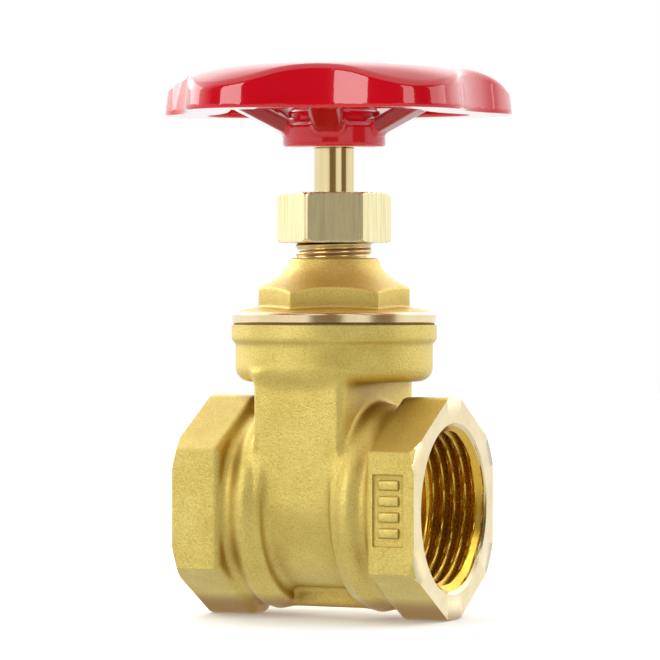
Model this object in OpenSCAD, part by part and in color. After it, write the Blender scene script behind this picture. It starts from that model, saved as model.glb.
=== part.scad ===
// Brass gate valve, one inch, with a stem that turns without rising.
// X is the pipe axis, Z is the stem axis, and the two cross at the origin. The gate is drawn open.

/* [Ends] */
// Length over the two end faces
end_to_end = 52; // [46:0.5:60]
// Distance across the flats of the end hexagons
hex_flats = 41; // [39:0.5:46]
// Height over the flattened corners of the end hexagons
hex_height = 44; // [42:0.5:46]
// Length of each end hexagon
hex_length = 10; // [8:0.5:12]
// Core radius of the pipe thread, Rp 1
port_r = 15.15; // [14:0.05:16]
// Depth of the pipe thread
port_depth = 13; // [11:0.5:14]
// Radius of the waterway through the seats
waterway_r = 11; // [9:0.5:11.5]

/* [Body] */
// Thickness of the gate housing along the pipe
housing_x = 19.6; // [18.5:0.1:21]
// Width of the gate housing across the pipe
housing_y = 35.8; // [35:0.1:37]
// Wall thickness of the gate housing
housing_wall = 2.3; // [2:0.1:2.5]
// Radius of the bead beside the housing
bead_r = 20.6; // [20:0.1:21]
// Radius of the collar that takes the bonnet
collar_r = 20.55; // [20:0.05:21.5]
// Height of the collar's top face above the pipe axis
collar_top = 36.3; // [36:0.1:38]

/* [Bonnet] */
// Radius of the bonnet's turned flange
flange_r = 20.4; // [20:0.1:21.5]
// Distance across the flats of the bonnet's hexagon
bonnet_flats = 30; // [29:0.5:32]
// Width over the two flattened corners of the bonnet's hexagon
bonnet_flattened = 30.1; // [30:0.1:34]
// Turn of the bonnet once it is screwed home
bonnet_turn = 24; // [0:1:59]
// Outer radius of the threaded neck, M16
neck_r = 7.75; // [7.7:0.05:8]

/* [Stem and packing] */
// Radius of the stem
stem_r = 4; // [3.8:0.1:4.2]
// Distance across the flats of the packing nut
gland_flats = 19.75; // [19:0.25:22]
// Height of the packing nut
gland_height = 10; // [9.5:0.5:11]
// Thickness of one packing ring
ring_thickness = 1.4; // [1.2:0.1:1.4]

/* [Gate] */
// Radius of the wedge's sealing discs
gate_r = 13.5; // [13:0.1:13.6]
// Half thickness of the wedge at the pipe axis when it is shut
gate_half = 6; // [5.5:0.1:6.2]
// Taper of each wedge face
taper = 4; // [3:0.5:5]
// Travel of the wedge from shut to open
travel = 25; // [23:0.5:25]

/* [Handwheel] */
// Radius to the top of a lobe
wheel_r = 36.2; // [34:0.1:38]
// Radius of a lobe's arc
lobe_r = 15; // [14:0.5:16]
// Radius from the stem axis to the bottom of a scallop
scallop_floor = 30.2; // [30:0.1:31]
// Number of lobes, spokes and scallops
lobes = 5; // [5:1:5]
// Turn of the first lobe from the pipe axis with the valve open
wheel_turn = -36.8; // [-180:0.1:180]
// Height of the underside of the hub above the pipe axis
hub_low = 71.7; // [71:0.1:73]
// Height of the rim's lower edge above the pipe axis
rim_low = 78.3; // [78:0.1:79]
// Height of the rim's crest above the pipe axis
rim_top = 88; // [87.5:0.1:89]
// Radius of the arc that the top of the rim falls away on
dome_r = 22; // [21:0.5:28]
// Width of a spoke
spoke_w = 6.2; // [5:0.1:8]

/* [Hidden] */
$fn = 96;

// Running clearance between turning or sliding parts, and the small gap in a screwed joint
run_gap = 0.06;
thread_gap = 0.05;
// A length that passes clear through whatever it cuts
over = 1;

// Ends
end_x = end_to_end / 2;
hex_x = end_x - hex_length;
end_chamfer = 1.5;
port_mouth_r = 16.8;
port_chamfer = 1.6;
bead_x = 11.3;
valley_r = 19.5;
panel_x = 16.8;
panel_w = 6.3;
panel_low = -6.5;
panel_h = 14.1;
panel_depth = 0.4;

// Housing and collar
cavity_x = housing_x / 2 - housing_wall;
cavity_y = housing_y / 2 - housing_wall;
housing_low = -16.3;
housing_high = 27.6;
housing_corner = 3;
cavity_low = housing_low + housing_wall;
cavity_high = 27;
collar_low = 25;
collar_step = 32.6;
collar_neck_r = 19.7;
collar_under_r = 17.4;
collar_thread_r = 17.9;
rib_w = 5;
rib_low = -20.1;
guide_w = 3;
guide_in = 12.8;
guide_high = 26.5;
seat_r = 13;

// Bonnet
gasket_t = 0.35;
flange_low = collar_top + gasket_t;
flange_high = 38.6;
hex_low = 39.8;
bonnet_hex_top = 43.6;
bonnet_skirt_low = 28;
bonnet_skirt_in = 15.5;
bonnet_throat_r = 9;
throat_low = 40;
retainer_r = 8;
retainer_low = 43;
retainer_high = 46;
retainer_hole_depth = 1.5;
shoulder_r = 17.2;
cone_r = 14.4;
cone_top = 49.5;
neck_top = 57.5;
collar_chamber_r = 6.6;
chamber_top = 49;
box_low = 50.2;
box_r = 5.9;

// Stem
stem_low = 12;
washer_t = 0.5;
stem_collar_r = 6;
stem_collar_low = retainer_high + washer_t + 0.02;
stem_collar_high = chamber_top - washer_t - 0.02;
thread_root = 3.3;
thread_pitch = 3;
square_flats = 6.2;
tip_r = 3;

// Packing, from the bottom up
packing_low = box_low + 0.7;
packing_top = packing_low + 3 * ring_thickness;
gland_low = 52.6;
gland_top = gland_low + gland_height;
follower_flange_low = 58.6;
follower_flange_high = gland_top - 2.8;
follower_flange_r = 6.6;

// Gate
gate_boss_r = 6.3;
gate_boss_top = 17.8;
gate_bore_low = -13;
seat_gap = 0.04;

// Handwheel: a lobe arc and a scallop arc meet on the line between their centres
lobe_step = 360 / lobes;
lobe_centre = wheel_r - lobe_r;
half_step = cos(lobe_step / 2);
scallop_r = (lobe_centre * lobe_centre + scallop_floor * scallop_floor - lobe_r * lobe_r
             - 2 * lobe_centre * scallop_floor * half_step)
            / (2 * lobe_r - 2 * scallop_floor + 2 * lobe_centre * half_step);
scallop_centre = scallop_floor + scallop_r;
lobe_half = 180 - acos((lobe_centre * lobe_centre + pow(lobe_r + scallop_r, 2)
                        - scallop_centre * scallop_centre)
                       / (2 * lobe_centre * (lobe_r + scallop_r)));
// The filling between two lobes starts this many degrees before the arcs meet
arc_lap = 4;
crest_r = 21.5;
rim_w = 9;
hub_r = 10.3;
hub_step = 76.2;
boss_r = 9.2;
hub_high = 79;
spoke_rise = 0.5;
spoke_start = 74.3;
spoke_t = 3.2;
plate_r = 8.6;
plate_t = 0.8;
lock_r = 5.4;
lock_t = 1.3;
nut_flats = 10;
nut_t = 5;
stem_top = hub_high + plate_t + lock_t + nut_t + 0.9;

BRASS = [0.84, 0.74, 0.38];
TURNED = [0.93, 0.87, 0.62];
DRAWN = [0.78, 0.72, 0.46];
RED = [0.76, 0.04, 0.06];
STEEL = [0.72, 0.73, 0.74];
PACKING = [0.92, 0.91, 0.87];
FIBRE = [0.28, 0.22, 0.17];

// A closed ring about the Z axis
module ring(inner, outer, low, high) {
    translate([0, 0, low])
        difference() {
            cylinder(r = outer, h = high - low);
            translate([0, 0, -over])
                cylinder(r = inner, h = high - low + 2 * over);
        }
}

// Turns a shape built along Z so that it lies along X
module along_x() {
    rotate([0, 90, 0])
        children();
}

// Six-sided bar along Z with a flat that faces +Y, its corners rounded off by a cone at the top
module hex_bar(flats, low, high, chamfer) {
    r = flats / 2 / cos(30);
    intersection() {
        translate([0, 0, low])
            cylinder(r = r, h = high - low, $fn = 6);
        rotate_extrude()
            polygon([[0, low], [r, low], [r, high - chamfer], [r - 1.7 * chamfer, high], [0, high]]);
    }
}

// One end hexagon, its top and bottom corners cast flat and its outer end turned
module end_hex() {
    intersection() {
        along_x()
            hex_bar(hex_flats, hex_x, end_x, end_chamfer);
        translate([0, -hex_flats, -hex_height / 2])
            cube([end_to_end, 2 * hex_flats, hex_height]);
    }
}

// The round of the body from the housing out to the hexagon, with its bead
module end_round() {
    along_x()
        rotate_extrude()
            polygon([[0, cavity_x - over], [valley_r - 0.5, cavity_x - over],
                     [valley_r, bead_x - 1.9], [bead_r - 0.3, bead_x - 0.7], [bead_r, bead_x],
                     [bead_r - 0.3, bead_x + 0.7], [valley_r, bead_x + 2.1],
                     [valley_r, hex_x - 1.8], [hex_flats / 2, hex_x],
                     [hex_flats / 2, hex_x + over], [0, hex_x + over]]);
}

// U-shaped prism along X, rounded at its four upright corners
module housing_form(x, y, low, high, corner) {
    intersection() {
        translate([-x, 0, 0])
            rotate([90, 0, 90])
                linear_extrude(2 * x)
                    union() {
                        translate([0, low + y])
                            circle(r = y);
                        translate([-y, low + y])
                            square([2 * y, high - low - y]);
                    }
        translate([0, 0, low - over])
            linear_extrude(high - low + 2 * over)
                union() {
                    square([2 * x - 2 * corner, 2 * y], center = true);
                    square([2 * x, 2 * y - 2 * corner], center = true);
                    for (sx = [-1, 1], sy = [-1, 1])
                        translate([sx * (x - corner), sy * (y - corner)])
                            circle(r = corner);
                }
    }
}

// Half space beyond one tapered face of the wedge, "gap" further out than the face itself
module beyond_face(side, gap) {
    mirror([side < 0 ? 1 : 0, 0, 0])
        translate([gate_half + gap, 0, 0])
            rotate([0, taper, 0])
                translate([0, -30, -40])
                    cube([30, 60, 80]);
}

module valve_body() {
    color(BRASS)
        difference() {
            union() {
                for (side = [0, 1])
                    mirror([side, 0, 0]) {
                        end_hex();
                        end_round();
                    }
                housing_form(housing_x / 2, housing_y / 2, housing_low, housing_high,
                             housing_corner);
                rotate_extrude()
                    polygon([[0, collar_low - over], [collar_under_r, collar_low - over],
                             [collar_under_r, collar_low],
                             [collar_neck_r, housing_high], [collar_neck_r, collar_step],
                             [collar_r, collar_step + 0.5], [collar_r, collar_top - 0.3],
                             [collar_r - 0.3, collar_top], [0, collar_top]]);
                translate([-hex_x, -rib_w / 2, rib_low])
                    cube([2 * hex_x, rib_w, 6]);
            }
            difference() {
                housing_form(cavity_x, cavity_y, cavity_low, cavity_high + over, 1.5);
                for (side = [-1, 1]) {
                    intersection() {
                        along_x()
                            translate([0, 0, side > 0 ? 0 : -cavity_x - over])
                                cylinder(r = seat_r, h = cavity_x + over);
                        beyond_face(side, 0);
                    }
                    translate([-guide_w / 2, side > 0 ? guide_in : -cavity_y - over, cavity_low - over])
                        cube([guide_w, cavity_y - guide_in + over, guide_high - cavity_low + over]);
                }
            }
            translate([0, 0, cavity_high])
                cylinder(r = collar_thread_r, h = 20);
            along_x()
                translate([0, 0, -end_x - over])
                    cylinder(r = waterway_r, h = end_to_end + 2 * over);
            for (side = [0, 1])
                mirror([side, 0, 0])
                    along_x() {
                        translate([0, 0, end_x - port_depth])
                            cylinder(r = port_r, h = port_depth + over);
                        translate([0, 0, end_x - port_chamfer])
                            cylinder(r1 = port_r, r2 = port_mouth_r, h = port_chamfer + 0.01);
                    }
            translate([panel_x, -hex_flats / 2 - over, panel_low])
                cube([panel_w, over + panel_depth, panel_h]);
        }
}

module bonnet_outside() {
    rotate_extrude()
        polygon([[0, bonnet_skirt_low], [collar_thread_r - thread_gap, bonnet_skirt_low],
                 [collar_thread_r - thread_gap, flange_low], [flange_r - 0.2, flange_low],
                 [flange_r, flange_low + 0.2], [flange_r, flange_high - 0.2],
                 [flange_r - 0.3, flange_high], [shoulder_r, hex_low], [cone_r, hex_low],
                 [cone_r, bonnet_hex_top + 0.4], [cone_r - 2.2, cone_top - 4.1],
                 [cone_r - 4.2, cone_top - 2.5], [cone_r - 5.5, cone_top],
                 [neck_r, cone_top], [neck_r, neck_top - 0.5], [neck_r - 0.5, neck_top],
                 [0, neck_top]]);
    rotate([0, 0, bonnet_turn])
        intersection() {
            rotate([0, 0, 30])
                hex_bar(bonnet_flats, hex_low - 0.6, bonnet_hex_top, 0.6);
            translate([-bonnet_flattened / 2, -30, 0])
                cube([bonnet_flattened, 60, 60]);
        }
}

module bonnet() {
    color(BRASS)
        difference() {
            bonnet_outside();
            rotate_extrude()
                polygon([[0, bonnet_skirt_low - over], [bonnet_skirt_in, bonnet_skirt_low - over],
                         [bonnet_skirt_in, throat_low - 5], [bonnet_throat_r, throat_low],
                         [bonnet_throat_r, retainer_low], [retainer_r, retainer_low],
                         [retainer_r, retainer_high], [0, retainer_high]]);
            translate([0, 0, retainer_high - 0.01])
                cylinder(r = collar_chamber_r, h = chamber_top - retainer_high + 0.01);
            translate([0, 0, chamber_top - 0.01])
                cylinder(r = stem_r + run_gap, h = box_low - chamber_top + 0.02);
            translate([0, 0, box_low])
                cylinder(r = box_r, h = neck_top - box_low + over);
        }
}

module bonnet_gasket() {
    color(FIBRE)
        ring(collar_thread_r + 0.1, collar_r - 0.5, collar_top, flange_low);
}

// Stem thread drawn as plain ridges, a pitch apart
function ridge(z) = [[thread_root, z], [stem_r, z + thread_pitch * 0.25],
                     [stem_r, z + thread_pitch * 0.6], [thread_root, z + thread_pitch * 0.85]];
ridge_count = floor((stem_collar_low - 3 - stem_low - 1) / thread_pitch);
stem_ridges = [for (k = [0 : ridge_count - 1], p = ridge(stem_low + 1 + k * thread_pitch)) p];

module stem() {
    color(TURNED)
        union() {
            rotate_extrude()
                polygon(concat([[0, stem_low], [thread_root - 0.6, stem_low],
                                [thread_root, stem_low + 0.6]], stem_ridges,
                               [[thread_root, stem_collar_low - 2], [stem_r, stem_collar_low - 1.3],
                                [stem_r, stem_collar_low], [stem_collar_r, stem_collar_low],
                                [stem_collar_r, stem_collar_high], [stem_r, stem_collar_high],
                                [stem_r, hub_low], [0, hub_low]]));
            intersection() {
                translate([-square_flats / 2, -square_flats / 2, hub_low - 0.5])
                    cube([square_flats, square_flats, hub_high - hub_low]);
                translate([0, 0, hub_low - over])
                    cylinder(r = stem_r, h = 20);
            }
            translate([0, 0, hub_high - over])
                cylinder(r = tip_r, h = stem_top - 0.6 - hub_high + over);
            translate([0, 0, stem_top - 0.6])
                cylinder(r1 = tip_r, r2 = tip_r - 0.6, h = 0.6);
        }
}

module thrust_washer_lower() {
    color(PACKING)
        ring(stem_r + run_gap, collar_chamber_r - 0.2, retainer_high, retainer_high + washer_t);
}

module thrust_washer_upper() {
    color(PACKING)
        ring(stem_r + run_gap, collar_chamber_r - 0.2, chamber_top - washer_t, chamber_top);
}

module stem_retainer() {
    color(TURNED)
        difference() {
            ring(stem_r + run_gap, retainer_r - thread_gap, retainer_low, retainer_high);
            for (side = [-1, 1])
                translate([side * 6.9, 0, retainer_low - over])
                    cylinder(r = 0.8, h = over + retainer_hole_depth, $fn = 24);
        }
}

module packing_washer() {
    color(TURNED)
        ring(stem_r + run_gap, box_r - thread_gap, box_low, packing_low);
}

module packing_ring(index) {
    low = packing_low + index * ring_thickness;
    color(PACKING)
        ring(stem_r + 0.02, box_r - 0.02, low, low + ring_thickness);
}

module packing_ring_lower() {
    packing_ring(0);
}

module packing_ring_middle() {
    packing_ring(1);
}

module packing_ring_upper() {
    packing_ring(2);
}

module gland_follower() {
    color(TURNED)
        union() {
            ring(stem_r + run_gap, box_r - thread_gap, packing_top, follower_flange_high);
            ring(stem_r + run_gap, follower_flange_r, follower_flange_low, follower_flange_high);
        }
}

module packing_nut() {
    r = gland_flats / 2 / cos(30);
    color(DRAWN)
        difference() {
            intersection() {
                rotate([0, 0, bonnet_turn + 30])
                    translate([0, 0, gland_low])
                        cylinder(r = r, h = gland_height, $fn = 6);
                rotate_extrude()
                    polygon([[0, gland_low], [r - 1.4, gland_low], [r, gland_low + 0.8],
                             [r, gland_top - 0.8], [r - 1.4, gland_top], [0, gland_top]]);
            }
            translate([0, 0, gland_low - over])
                cylinder(r = neck_r + thread_gap, h = follower_flange_high - gland_low + over);
            translate([0, 0, gland_low - 0.01])
                cylinder(r1 = neck_r + 0.6, r2 = neck_r, h = 0.8);
            cylinder(r = stem_r + 0.15, h = gland_top + over);
        }
}

// Wedge as it stands shut, centred on the pipe axis
module shut_wedge() {
    difference() {
        union() {
            intersection() {
                along_x()
                    translate([0, 0, -cavity_x])
                        cylinder(r = gate_r, h = 2 * cavity_x);
                translate([-cavity_x, -gate_r, -gate_r])
                    cube([2 * cavity_x, 2 * gate_r, 2 * gate_r]);
            }
            cylinder(r = gate_boss_r, h = gate_boss_top);
        }
        for (side = [-1, 1]) {
            beyond_face(side, -seat_gap);
            translate([-guide_w / 2 - 0.3, side > 0 ? guide_in - 0.3 : -gate_r - over, -gate_r - over])
                cube([guide_w + 0.6, gate_r - guide_in + 0.3 + over, 2 * gate_r + 2 * over]);
        }
        translate([0, 0, gate_bore_low])
            cylinder(r = stem_r + run_gap, h = gate_boss_top - gate_bore_low + over);
    }
}

module gate_wedge() {
    color(BRASS)
        translate([0, 0, travel])
            shut_wedge();
}

// Outline of the wheel, drawn a distance in from its edge: lobes joined by concave scallops
module lobed(inset) {
    r = lobe_r - inset;
    difference() {
        union() {
            for (k = [0 : lobes - 1])
                rotate(k * lobe_step)
                    translate([lobe_centre, 0])
                        circle(r = r);
            polygon([for (k = [0 : lobes - 1], side = [-1, 1])
                lobe_centre * direction(k * lobe_step)
                + (r - 0.1) * direction(k * lobe_step + side * (lobe_half - arc_lap))]);
        }
        for (k = [0 : lobes - 1])
            rotate((k + 0.5) * lobe_step)
                translate([scallop_centre, 0])
                    circle(r = scallop_r + inset);
    }
}

function direction(angle) = [cos(angle), sin(angle)];

// Height of the rim's top at a radius
function dome(r) = rim_top - dome_r + sqrt(dome_r * dome_r - pow(max(r - crest_r, 0), 2));

// The rim has a flat underside, an upright outer wall and a domed top that is lowest on the lobes
module rim() {
    difference() {
        intersection() {
            translate([0, 0, rim_low])
                linear_extrude(rim_top - rim_low + over)
                    lobed(0);
            rotate_extrude()
                polygon(concat([[0, rim_low - over], [wheel_r + 1, rim_low - over]],
                               [for (r = [wheel_r + 1 : -1.5 : crest_r]) [r, dome(r)]],
                               [[0, rim_top]]));
        }
        translate([0, 0, rim_low - over])
            linear_extrude(rim_top - rim_low + 2 * over)
                lobed(rim_w);
    }
}

module spoke() {
    rise_end = spoke_start + spoke_rise * (scallop_floor - rim_w - hub_r);
    spoke_end = scallop_floor - rim_w + over;
    rotate([90, 0, 0])
        translate([0, 0, -spoke_w / 2])
            linear_extrude(spoke_w)
                polygon([[boss_r - 1.5, spoke_start - 1], [hub_r, spoke_start],
                         [spoke_end, rise_end], [spoke_end, rise_end + spoke_t],
                         [boss_r, spoke_start + spoke_t], [boss_r - 1.5, spoke_start + spoke_t]]);
}

module handwheel() {
    color(RED)
        rotate([0, 0, wheel_turn])
            difference() {
                union() {
                    rim();
                    for (k = [0 : lobes - 1])
                        rotate([0, 0, (k + 0.5) * lobe_step])
                            spoke();
                    rotate_extrude()
                        polygon([[0, hub_low], [hub_r - 0.6, hub_low], [hub_r, hub_low + 0.6],
                                 [hub_r, hub_step - 0.5], [hub_r - 0.5, hub_step],
                                 [boss_r, hub_step], [boss_r, hub_high - 0.4],
                                 [boss_r - 0.4, hub_high], [0, hub_high]]);
                }
                rotate([0, 0, -wheel_turn])
                    translate([-square_flats / 2 - 0.03, -square_flats / 2 - 0.03, hub_low - over])
                        cube([square_flats + 0.06, square_flats + 0.06, 20]);
            }
}

module wheel_plate() {
    color(STEEL)
        ring(tip_r + 0.1, plate_r, hub_high, hub_high + plate_t);
}

module wheel_lock_washer() {
    low = hub_high + plate_t;
    color(STEEL)
        difference() {
            ring(tip_r + 0.1, lock_r, low, low + lock_t);
            rotate([0, 0, 40])
                translate([2, -0.3, low - over])
                    rotate([25, 0, 0])
                        cube([6, 0.6, 6]);
        }
}

module wheel_nut() {
    low = hub_high + plate_t + lock_t;
    color(STEEL)
        difference() {
            rotate([0, 0, wheel_turn])
                intersection() {
                    translate([0, 0, low])
                        cylinder(r = nut_flats / 2 / cos(30), h = nut_t, $fn = 6);
                    rotate_extrude()
                        polygon([[0, low], [5.1, low], [5.8, low + 0.5], [5.8, low + nut_t - 0.5],
                                 [5.1, low + nut_t], [0, low + nut_t]]);
                }
            translate([0, 0, low - over])
                cylinder(r = tip_r + thread_gap, h = nut_t + 2 * over);
        }
}

valve_body();
bonnet();
bonnet_gasket();
stem();
thrust_washer_lower();
thrust_washer_upper();
stem_retainer();
packing_washer();
packing_ring_lower();
packing_ring_middle();
packing_ring_upper();
gland_follower();
packing_nut();
gate_wedge();
handwheel();
wheel_plate();
wheel_lock_washer();
wheel_nut();
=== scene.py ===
"""A one inch gate valve in cast brass with a red handwheel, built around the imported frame.

Shapes are worked out in millimetres, as signed distances where the real surface is cast or painted
and as turned or threaded profiles where it is machined, and become metres when a mesh is made.
"""

import math

import bpy
import numpy as np
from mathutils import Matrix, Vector


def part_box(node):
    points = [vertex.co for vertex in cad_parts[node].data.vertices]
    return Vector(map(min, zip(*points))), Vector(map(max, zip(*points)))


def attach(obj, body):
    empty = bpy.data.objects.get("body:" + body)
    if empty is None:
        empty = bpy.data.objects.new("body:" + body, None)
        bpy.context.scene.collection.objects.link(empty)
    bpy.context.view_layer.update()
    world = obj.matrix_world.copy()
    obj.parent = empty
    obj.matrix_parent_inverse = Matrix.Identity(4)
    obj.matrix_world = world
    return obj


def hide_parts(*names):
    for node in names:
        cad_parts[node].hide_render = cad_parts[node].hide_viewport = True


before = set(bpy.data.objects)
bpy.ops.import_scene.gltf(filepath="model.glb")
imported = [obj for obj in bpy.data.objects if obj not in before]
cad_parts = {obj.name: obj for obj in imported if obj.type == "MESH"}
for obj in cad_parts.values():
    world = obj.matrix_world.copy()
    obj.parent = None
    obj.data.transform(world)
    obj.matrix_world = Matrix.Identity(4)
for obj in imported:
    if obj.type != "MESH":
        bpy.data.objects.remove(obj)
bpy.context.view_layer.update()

MM = 0.001


def box_mm(node):
    """A node's lowest and highest corner in millimetres."""
    low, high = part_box(node)
    return np.array(low) / MM, np.array(high) / MM


# ---------------------------------------------------------------- driving sizes, in millimetres

body_low, body_high = box_mm("valve_body")
bonnet_low, bonnet_high = box_mm("bonnet")
gasket_high = box_mm("bonnet_gasket")[1]
nut_low, nut_high = box_mm("packing_nut")
stem_low, stem_high = box_mm("stem")
wheel_low, wheel_high = box_mm("handwheel")
gate_low, gate_high = box_mm("gate_wedge")
plate_low = box_mm("wheel_plate")[0]

END_X = body_high[0]
HEX_HALF = 20.5
HEX_LENGTH = 10
HEX_FLAT_Z = -body_low[2]
COLLAR_TOP = body_high[2]
PORT_CORE, PORT_MAJOR, PORT_PITCH, PORT_DEPTH = 15.15, 16.62, 2.309, 13
WATERWAY_R = 11
NECK_R, NECK_PITCH = 7.75, 1.5
TIP_PITCH = 1.0
THREAD_SLACK = 0.05
BONNET_TURN = math.radians(24)
WHEEL_TURN = math.radians(-36.8)
STEM_R = 4


# ---------------------------------------------------------------- signed distances

def blend(a, b, k):
    """Union of two solids with a fillet of about k."""
    h = np.clip(0.5 + 0.5 * (b - a) / k, 0, 1)
    return b + (a - b) * h - k * h * (1 - h)


def rounded(a, b, k):
    """The common part of two solids, its edge rounded with radius k."""
    p, q = a + k, b + k
    return np.hypot(np.maximum(p, 0), np.maximum(q, 0)) + np.minimum(np.maximum(p, q), 0) - k


def cut(a, b, k):
    """Solid a less solid b, the new edge rounded with radius k."""
    return rounded(a, -b, k)


def hexagon(across, up, half):
    """Distance to a hexagon whose flats face along the first coordinate."""
    a, u = np.abs(across), np.abs(up)
    return np.maximum(a, a * 0.5 + u * math.sqrt(0.75)) - half


def layer(z, low, high):
    """Distance to the level layer between two heights."""
    return np.abs(z - (low + high) / 2) - (high - low) / 2


def smooth_step(low, high, value):
    """Rises smoothly from 0 at low to 1 at high."""
    t = np.clip((value - low) / (high - low), 0, 1)
    return t * t * (3 - 2 * t)


# ---------------------------------------------------------------- meshes

def mesh_object(name, verts, faces):
    """A mesh object from millimetre vertices."""
    mesh = bpy.data.meshes.new(name)
    verts = np.asarray(verts, dtype=np.float64) * MM
    faces = np.asarray(faces, dtype=np.int64)
    sides = faces.shape[1]
    mesh.vertices.add(len(verts))
    mesh.vertices.foreach_set("co", verts.ravel())
    mesh.loops.add(faces.size)
    mesh.loops.foreach_set("vertex_index", faces.ravel())
    mesh.polygons.add(len(faces))
    mesh.polygons.foreach_set("loop_start", np.arange(0, faces.size, sides))
    mesh.polygons.foreach_set("loop_total", np.full(len(faces), sides))
    mesh.update(calc_edges=True)
    mesh.validate()
    piece = bpy.data.objects.new(name, mesh)
    bpy.context.collection.objects.link(piece)
    return piece


def settle(field, points, cell):
    """Moves points onto the field's zero surface."""
    step = cell * 0.05
    for _ in range(3):
        x, y, z = points.T
        value = field(x, y, z)
        slope = np.stack([
            field(x + step, y, z) - field(x - step, y, z),
            field(x, y + step, z) - field(x, y - step, z),
            field(x, y, z + step) - field(x, y, z - step),
        ], axis=1) / (2 * step)
        size = np.maximum((slope * slope).sum(axis=1), 0.05)
        move = slope * (value / size)[:, None]
        length = np.maximum(np.linalg.norm(move, axis=1), 1e-9)
        points = points - move * np.minimum(1, 0.6 * cell / length)[:, None]
    return points


def solid(name, field, low, high, cell):
    """Mesh of a signed distance field inside a box, by surface nets."""
    axes = [np.arange(a - 2.3 * cell, b + 3 * cell, cell) for a, b in zip(low, high)]
    x, y, z = np.meshgrid(*axes, indexing="ij", sparse=True)
    value = np.broadcast_to(field(x, y, z), [len(a) for a in axes]).astype(np.float32)
    for d in range(3):
        for end in (0, -1):
            border = [slice(None)] * 3
            border[d] = end
            value[tuple(border)] = cell
    cells = np.array(value.shape) - 1
    count = np.zeros(cells.prod())
    total = np.zeros((3, cells.prod()))
    quads = []
    for d in range(3):
        below = np.take(value, range(value.shape[d] - 1), axis=d)
        above = np.take(value, range(1, value.shape[d]), axis=d)
        edge = np.argwhere((below < 0) != (above < 0))
        at = tuple(edge.T)
        point = edge.astype(np.float64)
        point[:, d] += below[at] / (below[at] - above[at])
        side = [k for k in range(3) if k != d]
        ring = []
        for shift in ((0, 0), (1, 0), (1, 1), (0, 1)):
            corner = edge.copy()
            corner[:, side[0]] -= shift[0]
            corner[:, side[1]] -= shift[1]
            index = np.ravel_multi_index(tuple(corner.T), cells)
            ring.append(index)
            count += np.bincount(index, minlength=len(count))
            for k in range(3):
                total[k] += np.bincount(index, weights=point[:, k], minlength=len(count))
        quad = np.stack(ring, axis=1)
        flip = (below[at] < 0) == (d == 1)
        quad[flip] = quad[flip][:, ::-1]
        quads.append(quad)
    used = np.flatnonzero(count)
    number = np.full(len(count), -1)
    number[used] = np.arange(len(used))
    points = (total[:, used] / count[used]).T * cell + np.array([a[0] for a in axes])
    return mesh_object(name, settle(field, points, cell), number[np.concatenate(quads)])


def turned(name, profile, along="z", steps=128):
    """A closed solid of revolution from its outline, given as (radius, place) pairs."""
    profile = [p for k, p in enumerate(profile) if k == 0 or p != profile[k - 1]]
    angle = np.linspace(0, 2 * math.pi, steps, endpoint=False)
    verts, rows = [], []
    for radius, place in profile:
        if radius < 1e-6:
            rows.append([len(verts)] * steps)
            verts.append((0, 0, place))
        else:
            rows.append(list(range(len(verts), len(verts) + steps)))
            verts += [(radius * math.cos(a), radius * math.sin(a), place) for a in angle]
    faces = []
    closed = profile[0][0] > 1e-6 or profile[-1][0] > 1e-6
    spans = len(rows) if closed else len(rows) - 1
    for k in range(spans):
        a, b = rows[k], rows[(k + 1) % len(rows)]
        for i in range(steps):
            j = (i + 1) % steps
            ring = [a[i], a[j], b[j], b[i]]
            faces.append([v for n, v in enumerate(ring) if v != ring[n - 1]])
    return polygons(name, verts, faces, along)


def polygons(name, verts, faces, along="z"):
    """A mesh from mixed faces, turned so that its own Z lies along the named axis."""
    if along == "x":
        verts = [(z, x, y) for x, y, z in verts]
    mesh = bpy.data.meshes.new(name)
    mesh.from_pydata([tuple(c * MM for c in v) for v in verts], [], [f for f in faces if len(f) > 2])
    mesh.validate()
    piece = bpy.data.objects.new(name, mesh)
    bpy.context.collection.objects.link(piece)
    outward(piece)
    return piece


def outward(piece):
    """Turns a closed mesh right side out."""
    mesh = piece.data
    mesh.calc_loop_triangles()
    co = np.empty(len(mesh.vertices) * 3)
    mesh.vertices.foreach_get("co", co)
    tri = np.empty(len(mesh.loop_triangles) * 3, dtype=np.int64)
    mesh.loop_triangles.foreach_get("vertices", tri)
    a, b, c = co.reshape(-1, 3)[tri.reshape(-1, 3)].transpose(1, 0, 2)
    if np.einsum("ij,ij->", a, np.cross(b, c)) < 0:
        mesh.flip_normals()


def threaded(name, radius, low, high, rows, along="z", steps=160):
    """A closed bar whose radius is a function of angle and height."""
    place = np.linspace(low, high, rows)
    angle = np.linspace(0, 2 * math.pi, steps, endpoint=False)
    a, p = np.meshgrid(angle, place)
    r = radius(a, p)
    verts = np.stack([r * np.cos(a), r * np.sin(a), p], axis=2).reshape(-1, 3).tolist()
    faces = []
    for k in range(rows - 1):
        for i in range(steps):
            j = (i + 1) % steps
            faces.append([k * steps + i, k * steps + j, (k + 1) * steps + j, (k + 1) * steps + i])
    top = (rows - 1) * steps
    verts += [[0, 0, low], [0, 0, high]]
    for i in range(steps):
        j = (i + 1) % steps
        faces += [[len(verts) - 2, j, i], [len(verts) - 1, top + i, top + j]]
    return polygons(name, verts, faces, along)


def helix(angle, place, pitch, hand=1):
    """0 in the groove and 1 on the crest of a thread, with flattened tips."""
    phase = (place / pitch - hand * angle / (2 * math.pi)) % 1
    return np.clip((np.abs(2 * phase - 1) - 0.5) * 1.25 + 0.5, 0, 1)


def boolean(piece, tool, operation):
    """Applies one exact cut or join and removes the tool."""
    change = piece.modifiers.new("cut", "BOOLEAN")
    change.object = tool
    change.operation = operation
    change.solver = "MANIFOLD"
    apply_modifiers(piece)
    remove(tool)


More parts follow.
